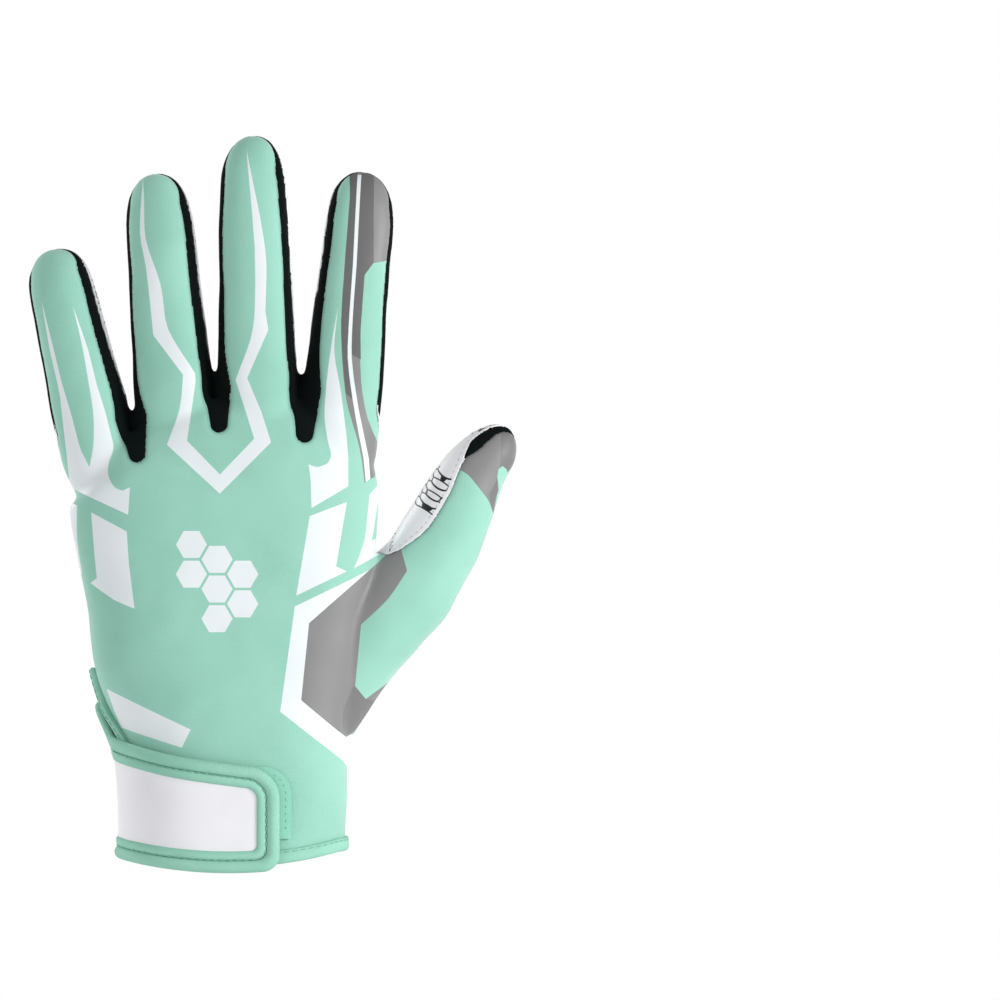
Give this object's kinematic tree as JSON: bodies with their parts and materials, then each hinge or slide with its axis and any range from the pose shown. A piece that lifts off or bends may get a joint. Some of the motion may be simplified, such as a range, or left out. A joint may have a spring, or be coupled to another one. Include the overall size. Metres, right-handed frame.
{
  "type": "football receiver glove",
  "caption": "Left-hand sports glove with a jersey back, grip-print palm, knit strips between the fingers and a hook-and-loop wrist strap, in its worn shape.",
  "frame": {"origin": "centre of the cuff opening, where the hand goes in", "axes": "+Z from the wrist to the fingertips, -Y out of the back of the hand, +Y out of the palm, +X towards the thumb"},
  "size_m": [0.1465, 0.0524, 0.2206],
  "materials": {
    "jersey": "fine stretch jersey, matt, with printed white and grey stripes",
    "palm_leather": "smooth white synthetic leather with a black hexagon grip print",
    "knit": "black ribbed knit, matt",
    "mint_tape": "folded binding tape, matt",
    "loop_fabric": "short loop pile, matt",
    "strap_face": "soft white coated fabric, satin"
  },
  "bodies": {
    "root": {"back_panel": "jersey", "palm_panel": "palm_leather", "thumb_front_panel": "palm_leather", "cuff_binding": "mint_tape", "vent_binding": "mint_tape", "loop_patch": "loop_fabric", "strap_panel": "strap_face", "strap_binding": "mint_tape", "fourchette_little_outer": "knit", "fourchette_little_ring": "knit", "fourchette_ring_middle": "knit", "fourchette_middle_index": "knit", "fourchette_index_outer": "knit", "fourchette_thumb_tip": "knit"}
  },
  "joints": []
}
